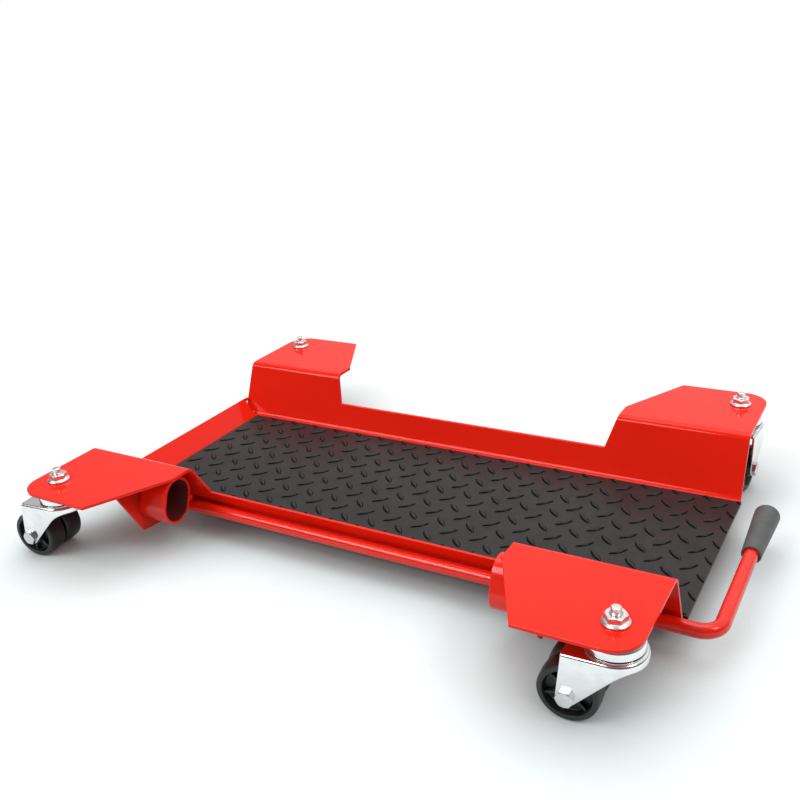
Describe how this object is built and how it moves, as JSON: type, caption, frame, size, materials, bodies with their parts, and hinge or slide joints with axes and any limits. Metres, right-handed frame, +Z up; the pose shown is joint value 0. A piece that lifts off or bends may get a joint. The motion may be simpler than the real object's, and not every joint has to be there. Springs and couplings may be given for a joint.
{
  "type": "motorcycle mover dolly",
  "caption": "Low wheel dolly: a folded red steel pan with a rubber mat, raised corner wings on swivelling twin-wheel castors and a swinging side lever.",
  "frame": {"origin": "middle of the bed on top of the rubber mat, halfway along the pan", "axes": "+X along the bed towards the open entry end, +Y across it away from the lever side, +Z up"},
  "size_m": [0.7117, 0.496, 0.0975],
  "materials": {
    "red_paint": "glossy powder coat",
    "mat_rubber": "ribbed, satin",
    "grip_rubber": "satin",
    "zinc": "bright zinc plate",
    "ball_steel": "polished",
    "wheel_black": "satin moulded",
    "seal_rubber": "matt"
  },
  "bodies": {
    "frame": {"pan": "red_paint", "rubber_mat": "mat_rubber", "sleeve_left": "red_paint", "sleeve_right": "red_paint", "gusset_left": "red_paint", "gusset_right": "red_paint", "sleeve_bosses": "red_paint", "near_left_upper_race": "zinc", "near_left_stem": "zinc", "near_left_stem_nut": "zinc", "near_right_upper_race": "zinc", "near_right_stem": "zinc", "near_right_stem_nut": "zinc", "far_left_upper_race": "zinc", "far_left_stem": "zinc", "far_left_stem_nut": "zinc", "far_right_upper_race": "zinc", "far_right_stem": "zinc", "far_right_stem_nut": "zinc"},
    "lever": {"lever_bar": "red_paint", "lever_rings": "zinc", "lever_grip": "grip_rubber"},
    "near_left_swivel": {"near_left_fork": "zinc", "near_left_seal": "seal_rubber", "near_left_balls": "ball_steel", "near_left_axle_bolt": "zinc", "near_left_axle_nut": "zinc", "near_left_axle_sleeve": "zinc"},
    "near_left_inner_wheel": {"near_left_inner_wheel": "wheel_black"},
    "near_left_outer_wheel": {"near_left_outer_wheel": "wheel_black"},
    "near_right_swivel": {"near_right_fork": "zinc", "near_right_seal": "seal_rubber", "near_right_balls": "ball_steel", "near_right_axle_bolt": "zinc", "near_right_axle_nut": "zinc", "near_right_axle_sleeve": "zinc"},
    "near_right_inner_wheel": {"near_right_inner_wheel": "wheel_black"},
    "near_right_outer_wheel": {"near_right_outer_wheel": "wheel_black"},
    "far_left_swivel": {"far_left_fork": "zinc", "far_left_seal": "seal_rubber", "far_left_balls": "ball_steel", "far_left_axle_bolt": "zinc", "far_left_axle_nut": "zinc", "far_left_axle_sleeve": "zinc"},
    "far_left_inner_wheel": {"far_left_inner_wheel": "wheel_black"},
    "far_left_outer_wheel": {"far_left_outer_wheel": "wheel_black"},
    "far_right_swivel": {"far_right_fork": "zinc", "far_right_seal": "seal_rubber", "far_right_balls": "ball_steel", "far_right_axle_bolt": "zinc", "far_right_axle_nut": "zinc", "far_right_axle_sleeve": "zinc"},
    "far_right_inner_wheel": {"far_right_inner_wheel": "wheel_black"},
    "far_right_outer_wheel": {"far_right_outer_wheel": "wheel_black"}
  },
  "joints": [
    {"name": "lever_turn", "type": "hinge", "parent": "frame", "child": "lever", "pos_m": [0, -0.128, 0.006], "axis": [1, 0, 0], "range_deg": [0, 110]},
    {"name": "near_left_swivel_turn", "type": "hinge", "parent": "frame", "child": "near_left_swivel", "pos_m": [-0.293, -0.214, 0.056], "axis": [0, 0, 1], "continuous": true},
    {"name": "near_left_inner_wheel_spin", "type": "hinge", "parent": "near_left_swivel", "child": "near_left_inner_wheel", "pos_m": [-0.32289, -0.21662, 0.0005], "axis": [0.0872, -0.9962, 0], "continuous": true},
    {"name": "near_left_outer_wheel_spin", "type": "hinge", "parent": "near_left_swivel", "child": "near_left_outer_wheel", "pos_m": [-0.32289, -0.21662, 0.0005], "axis": [0.0872, -0.9962, 0], "continuous": true},
    {"name": "near_right_swivel_turn", "type": "hinge", "parent": "frame", "child": "near_right_swivel", "pos_m": [0.293, -0.214, 0.056], "axis": [0, 0, 1], "continuous": true},
    {"name": "near_right_inner_wheel_spin", "type": "hinge", "parent": "near_right_swivel", "child": "near_right_inner_wheel", "pos_m": [0.26302, -0.21505, 0.0005], "axis": [0.0349, -0.9994, 0], "continuous": true},
    {"name": "near_right_outer_wheel_spin", "type": "hinge", "parent": "near_right_swivel", "child": "near_right_outer_wheel", "pos_m": [0.26302, -0.21505, 0.0005], "axis": [0.0349, -0.9994, 0], "continuous": true},
    {"name": "far_left_swivel_turn", "type": "hinge", "parent": "frame", "child": "far_left_swivel", "pos_m": [-0.293, 0.214, 0.056], "axis": [0, 0, 1], "continuous": true},
    {"name": "far_left_inner_wheel_spin", "type": "hinge", "parent": "far_left_swivel", "child": "far_left_inner_wheel", "pos_m": [-0.32119, 0.20374, 0.0005], "axis": [0.342, -0.9397, 0], "continuous": true},
    {"name": "far_left_outer_wheel_spin", "type": "hinge", "parent": "far_left_swivel", "child": "far_left_outer_wheel", "pos_m": [-0.32119, 0.20374, 0.0005], "axis": [0.342, -0.9397, 0], "continuous": true},
    {"name": "far_right_swivel_turn", "type": "hinge", "parent": "frame", "child": "far_right_swivel", "pos_m": [0.293, 0.214, 0.056], "axis": [0, 0, 1], "continuous": true},
    {"name": "far_right_inner_wheel_spin", "type": "hinge", "parent": "far_right_swivel", "child": "far_right_inner_wheel", "pos_m": [0.29091, 0.18407, 0.0005], "axis": [0.9976, -0.0698, 0], "continuous": true},
    {"name": "far_right_outer_wheel_spin", "type": "hinge", "parent": "far_right_swivel", "child": "far_right_outer_wheel", "pos_m": [0.29091, 0.18407, 0.0005], "axis": [0.9976, -0.0698, 0], "continuous": true}
  ]
}
